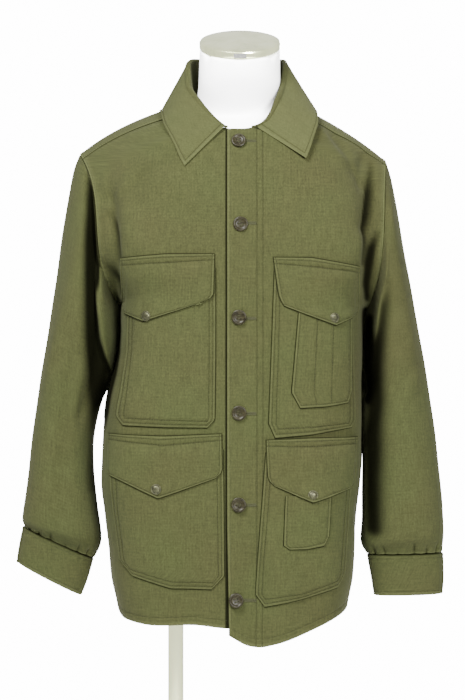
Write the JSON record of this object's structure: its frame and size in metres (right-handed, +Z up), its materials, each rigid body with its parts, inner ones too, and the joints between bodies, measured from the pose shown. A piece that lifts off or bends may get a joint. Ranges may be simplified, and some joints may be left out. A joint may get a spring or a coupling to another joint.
{
  "type": "mackinaw jacket on dress form stand",
  "caption": "Hip-length wool mackinaw work jacket with a fold-over collar and flap pockets, buttoned on a limbless dress form with a pole stand.",
  "frame": {"origin": "on the floor, midway between the two sleeves' outer sides and between the front and back edges of the base plate", "axes": "+Z up, the jacket's front faces -Y, the wearer's left is at +X"},
  "size_m": [0.6347, 0.38, 1.5322],
  "materials": {
    "wool": "matte wool whipcord",
    "button": "polished",
    "snap": "darkened",
    "form": "satin",
    "chrome": "polished"
  },
  "bodies": {
    "root": {"front_left": "wool", "front_right": "wool", "back": "wool", "yoke": "wool", "collar": "wool", "sleeve_left": "wool", "sleeve_right": "wool", "cuff_left": "wool", "cuff_right": "wool", "chest_pocket_left": "wool", "chest_pocket_right": "wool", "lower_pocket_left": "wool", "lower_pocket_right": "wool", "chest_flap_left": "wool", "chest_flap_right": "wool", "lower_flap_left": "wool", "lower_flap_right": "wool", "pencil_pocket": "wool", "small_pocket": "wool", "button_1": "button", "button_2": "button", "button_3": "button", "button_4": "button", "button_5": "button", "button_6": "button", "cuff_button_left": "button", "cuff_button_right": "button", "snap_chest_left": "snap", "snap_chest_right": "snap", "snap_lower_left": "snap", "snap_lower_right": "snap", "form_torso": "form", "form_neck_cap": "chrome", "form_pole": "chrome", "form_base": "chrome"}
  },
  "joints": []
}
